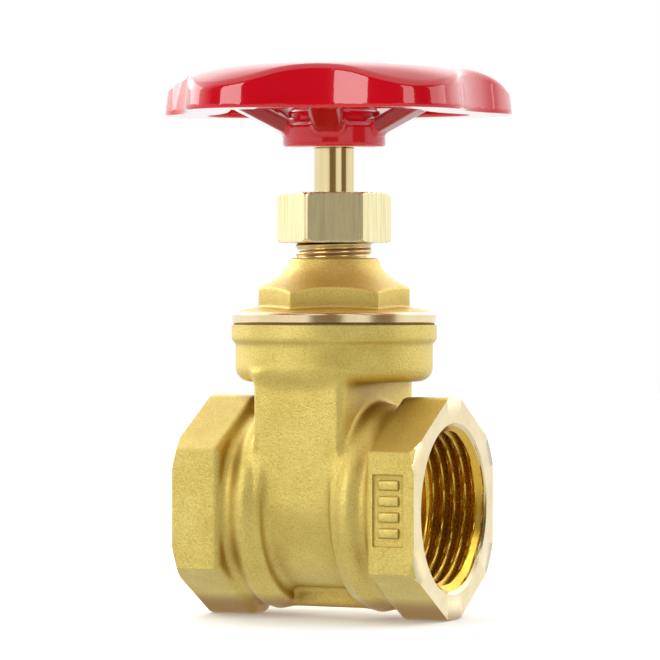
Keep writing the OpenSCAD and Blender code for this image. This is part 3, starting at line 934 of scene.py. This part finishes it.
def stem():
    """The turned stem: left-hand thread, thrust collar, square and threaded tip."""
    neck, depth = STEM_THREAD_TOP, STEM_THREAD_DEPTH

    def lower(angle, at):
        worn = smooth_step(stem_low[2], stem_low[2] + 1.2, at) * smooth_step(neck + 0.4, neck - 1.4, at)
        root = STEM_R - depth + depth * smooth_step(neck - 1.6, neck - 0.2, at)
        return np.minimum(STEM_R, root + depth * worn * helix(angle, at, STEM_PITCH, -1))

    piece = threaded("stem_turned", lower, stem_low[2], neck + 0.5, 190, steps=120)
    upper = turned("upper", [
        (0, neck), (STEM_R, neck), (STEM_R, STEM_COLLAR_LOW), (STEM_COLLAR_R - 0.2, STEM_COLLAR_LOW),
        (STEM_COLLAR_R, STEM_COLLAR_LOW + 0.2), (STEM_COLLAR_R, STEM_COLLAR_HIGH - 0.2),
        (STEM_COLLAR_R - 0.2, STEM_COLLAR_HIGH), (STEM_R, STEM_COLLAR_HIGH), (STEM_R, HUB_LOW - 0.25),
        (STEM_R - 0.25, HUB_LOW), (0, HUB_LOW)], steps=160)
    boolean(piece, upper, "UNION")
    half = SQUARE_HALF - 0.03
    square = rounded_panel("square", (-half, -half, HUB_LOW - 1), (half, half, HUB_HIGH), 0.1)
    limit = turned("limit", [(0, HUB_LOW - 2), (STEM_R, HUB_LOW - 2), (STEM_R, HUB_HIGH + 1),
                             (0, HUB_HIGH + 1)])
    boolean(square, limit, "INTERSECT")
    boolean(piece, square, "UNION")

    def tip_radius(angle, at):
        depth = 0.55
        end = (stem_high[2] - at) * 1.1 + 2.3
        return np.minimum(TIP_R - depth + depth * helix(angle, at, TIP_PITCH), end)

    boolean(piece, threaded("tip", tip_radius, HUB_HIGH - 1, stem_high[2], 110, steps=96), "UNION")
    dress(piece, [POLISHED], sharp=32)
    return place(piece, "spindle", "turned_brass", "stem")


def wheel_nut(zinc):
    """The nut on the stem's tip."""
    low, high = box_mm("wheel_nut")
    height = high[2] - low[2]
    piece = solid("wheel_nut_hexagon", nut_field(5, height, low[2], WHEEL_TURN, 0.5, 2.6), low, high,
                  0.16)

    def radius(angle, at):
        depth = 0.5
        return TIP_R + THREAD_SLACK - depth + depth * helix(angle, at, TIP_PITCH)

    boolean(piece, threaded("nut_bore", radius, low[2] - 0.5, high[2] + 0.5, 70, steps=96), "DIFFERENCE")
    dress(piece, [zinc])
    return place(piece, "spindle", "zinc_steel", "wheel_nut")


def lock_washer(zinc):
    """A split spring washer, its two ends a little apart in height."""
    low, high = box_mm("wheel_lock_washer")
    rise, steps = 0.25, 96
    thick = high[2] - low[2] - rise
    start, sweep = 42, 352
    section = [(3.1, 0), (5.1, 0), (5.4, 0.3), (5.4, thick - 0.2), (5.2, thick), (3.3, thick),
               (3.1, thick - 0.2)]
    verts, faces, count = [], [], len(section)
    for k in range(steps + 1):
        share = k / steps
        angle = math.radians(start + sweep * share)
        verts += [(r * math.cos(angle), r * math.sin(angle), low[2] + rise * share + z) for r, z in section]
    for k in range(steps):
        for i in range(count):
            j = (i + 1) % count
            faces.append([k * count + i, k * count + j, (k + 1) * count + j, (k + 1) * count + i])
    faces += [list(range(count))[::-1], list(range(steps * count, (steps + 1) * count))]
    piece = polygons("wheel_lock_washer_split", verts, faces)
    dress(piece, [zinc])
    return place(piece, "spindle", "zinc_steel", "wheel_lock_washer")


def wheel_plate(metal):
    """The round plate in the wheel's dish, blank but for its two pressed rings."""
    low, high = box_mm("wheel_plate")
    z0, z1, r = low[2], high[2], high[0]
    profile = [(3.1, z0), (r - 0.15, z0), (r, z0 + 0.15), (r, z1 - 0.25), (r - 0.3, z1), (r - 0.9, z1),
               (r - 1.2, z1 - 0.25), (6.3, z1 - 0.25), (6.1, z1 - 0.1), (5.8, z1 - 0.1), (5.6, z1 - 0.25),
               (3.3, z1 - 0.25), (3.1, z1 - 0.35)]
    piece = turned("wheel_plate_pressed", profile)
    dress(piece, [metal])
    return place(piece, "spindle", "plate", "wheel_plate")


# ---------------------------------------------------------------- gate

GATE_R, GATE_CROWN, GATE_DISH_R = 13.5, 17.8, 8.5
GATE_BOSS_R, GATE_BOSS_LOW = 6.3, -1.8
FACE_GAP, GUIDE_GAP = 0.15, 0.3


def gate_field(x, y, z):
    """The wedge as it stands at rest, lifted clear of the waterway."""
    up = z - (gate_high[2] - GATE_CROWN)
    face = (np.abs(x) - SEAT_X + FACE_GAP - up * math.tan(TAPER)) * math.cos(TAPER)
    disc = rounded(np.hypot(y, up) - GATE_R, face, 0.5)
    dish = rounded(np.hypot(y, up) - GATE_DISH_R, SEAT_X - 1 + up * math.tan(TAPER) - np.abs(x), 0.5)
    disc = cut(disc, dish, 0.5)
    boss = rounded(np.hypot(x, y) - GATE_BOSS_R, layer(up, GATE_BOSS_LOW, GATE_CROWN), 0.6)
    slot = rounded(np.abs(x) - GUIDE_HALF - GUIDE_GAP, GUIDE_Y - GUIDE_GAP - np.abs(y), 0.2)
    wedge = np.maximum(blend(disc, boss, 1.2), face)
    stem_hole = rounded(np.hypot(x, y) - STEM_HOLE_R, -13 - up, 0.3)
    return cut(cut(wedge, slot, 0.3), stem_hole, 0.3)


def gate_wedge():
    """The cast wedge with its two machined faces."""
    piece = solid("gate_wedge_casting", gate_field, gate_low, gate_high, 0.45)

    def finish(centre, normal):
        return ((np.abs(normal[:, 0]) > 0.9) & (np.abs(centre[:, 0]) > 4.9)).astype(int)

    dress(piece, [CAST, TURNED_X], finish)
    return place(piece, "gate", "cast_brass", "gate_wedge")


# ---------------------------------------------------------------- build

def carried_over():
    """CAD nodes whose shape is right keep their mesh and take a finished material."""
    finishes = {
        "bonnet_gasket": fibre(), "thrust_washer_lower": ptfe(), "thrust_washer_upper": ptfe(),
        "packing_ring_lower": ptfe(), "packing_ring_middle": ptfe(), "packing_ring_upper": ptfe(),
        "stem_retainer": TURNED_Z, "packing_washer": TURNED_Z, "gland_follower": TURNED_Z}
    for node, material in finishes.items():
        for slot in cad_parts[node].material_slots:
            slot.material = material


valve_body()
bonnet()
packing_nut()
handwheel()
stem()
gate_wedge()
ZINC = zinc_steel()
wheel_nut(ZINC)
lock_washer(ZINC)
wheel_plate(plate_metal())
carried_over()


# ---------------------------------------------------------------- floor, light and camera

CAMERA_AZIMUTH = 24.2
CAMERA_DISTANCE, CAMERA_EYE = 770, 43.4
# Radiances. The world's strength is the backdrop's, and its colours are shares of that
BACKDROP, CEILING, GROUND = 1.9, 1.15, 0.78
WHITE, GAP, DIM = (1.0,) * 3, (0.22, 0.16, 0.08), (0.06,) * 3
FLOOR_GLOW = 0.15


def by_azimuth(n, share, *stops):
    """Brightness by the angle round from the camera, in degrees, positive to its right."""
    return n.ramp(share, *[(degrees / 360 + 0.5, tuple(v / BACKDROP for v in value))
                           for degrees, value in stops])


def studio():
    """A bright backdrop behind the object, a bright ceiling and an even ground, with the dark room
    round the camera. Near the horizon the room has white screens, and polished parts show the
    two warm gaps between them. The camera itself sees plain white."""
    world = bpy.data.worlds.new("studio")
    bpy.context.scene.world = world
    world.use_nodes = True
    world.node_tree.nodes.clear()
    n = Tree(world.node_tree)
    turn = n.add("ShaderNodeMapping", vector_type="POINT")
    turn.inputs["Rotation"].default_value = (0, 0, -math.radians(CAMERA_AZIMUTH))
    n.link(n.add("ShaderNodeTexCoord").outputs["Generated"], turn.inputs["Vector"])
    split = n.add("ShaderNodeSeparateXYZ")
    n.link(turn.outputs[0], split.inputs[0])
    right, ahead, up = split.outputs
    share = n.math("MULTIPLY_ADD", n.math("ARCTAN2", right, n.math("MULTIPLY", ahead, -1)),
                   1 / (2 * math.pi), 0.5)
    wall = (BACKDROP,) * 3
    screens = by_azimuth(n, share, (-180, WHITE), (-29, WHITE), (-26, GAP), (8, GAP), (11, WHITE),
                         (40, WHITE), (43, GAP), (70, GAP), (77, WHITE), (180, WHITE))
    room = by_azimuth(n, share, (-180, wall), (-115, wall), (-80, DIM), (80, DIM), (115, wall),
                      (180, wall))
    around = n.mix(n.ramp(n.math("ABSOLUTE", up), (0.09, 0.0), (0.16, 1.0)), screens, room)
    around = n.mix(n.ramp(up, (0.6, 0.0), (0.75, 1.0)), around, (CEILING / BACKDROP,) * 3)
    below = n.math("MULTIPLY", up, -1)
    around = n.mix(n.ramp(below, (0.08, 0.0), (0.25, 1.0)), around, (GROUND / BACKDROP,) * 3)
    lit = n.add("ShaderNodeBackground")
    lit.inputs["Strength"].default_value = BACKDROP
    n.link(around, lit.inputs["Color"])
    shown = n.add("ShaderNodeBackground")
    shown.inputs["Color"].default_value = (1, 1, 1, 1)
    mix = n.add("ShaderNodeMixShader")
    n.link(n.add("ShaderNodeLightPath").outputs["Is Camera Ray"], mix.inputs[0])
    n.link(lit.outputs[0], mix.inputs[1])
    n.link(shown.outputs[0], mix.inputs[2])
    n.link(mix.outputs[0], n.add("ShaderNodeOutputWorld").inputs["Surface"])


def softbox(name, beside, elevation, width, height, radiance):
    """A rectangular light that faces the handwheel. Its place and size are angles in degrees,
    the first counted to the right of the camera."""
    distance, aim = 0.8, Vector((0, 0, RIM_LOW * MM))
    a, e = math.radians(CAMERA_AZIMUTH + beside), math.radians(elevation)
    light = bpy.data.lights.new(name, "AREA")
    light.shape = "RECTANGLE"
    light.size = 2 * distance * math.tan(math.radians(width / 2))
    light.size_y = 2 * distance * math.tan(math.radians(height / 2))
    light.energy = radiance * math.pi * light.size * light.size_y
    lamp = bpy.data.objects.new(name, light)
    bpy.context.collection.objects.link(lamp)
    lamp.location = aim + distance * Vector(
        (math.sin(a) * math.cos(e), -math.cos(a) * math.cos(e), math.sin(e)))
    lamp.rotation_mode = "QUATERNION"
    lamp.rotation_quaternion = (aim - lamp.location).to_track_quat("-Z", "Y")


def floor():
    """A round pale table top that fades into the white behind it. Reflections show the studio's
    ground in its place."""
    n = Nodes("pale_floor")
    n.set(color=n.ramp(n.noise(0.02, 2), (0.3, (0.92, 0.92, 0.92)), (0.7, (0.94, 0.94, 0.94))), rough=0.7)
    n.shader.inputs["Emission Color"].default_value = (1, 1, 1, 1)
    n.shader.inputs["Emission Strength"].default_value = FLOOR_GLOW
    bpy.ops.mesh.primitive_circle_add(vertices=96, radius=1.6, fill_type="NGON",
                                      location=(0, 0, body_low[2] * MM))
    top = bpy.context.object
    top.name = "floor"
    top.visible_glossy = False
    top.data.materials.append(n.material)


def camera():
    """Stands a little above the pipe axis and looks along the valve's front left to its right end."""
    azimuth = math.radians(CAMERA_AZIMUTH)
    right = Vector((math.cos(azimuth), math.sin(azimuth), 0))
    target = Vector((0, 0, 35.2)) - 0.84 * right
    data = bpy.data.cameras.new("camera")
    data.lens, data.sensor_width = 210, 36
    data.clip_start, data.clip_end = 0.05, 20
    view = bpy.data.objects.new("camera", data)
    bpy.context.collection.objects.link(view)
    view.location = Vector((math.sin(azimuth) * CAMERA_DISTANCE,
                            -math.cos(azimuth) * CAMERA_DISTANCE, CAMERA_EYE)) * MM
    view.rotation_mode = "QUATERNION"
    view.rotation_quaternion = (target * MM - view.location).to_track_quat("-Z", "Y")
    bpy.context.scene.camera = view


studio()
floor()
softbox("key", -46, 19, 32, 22, 5)
softbox("fill", 33, 19, 16, 22, 3)
softbox("right_wall", 84, 19, 30, 22, 2)
softbox("left_wall", -128, 19, 44, 22, 2.5)
camera()
bpy.context.scene.view_settings.view_transform = "Standard"
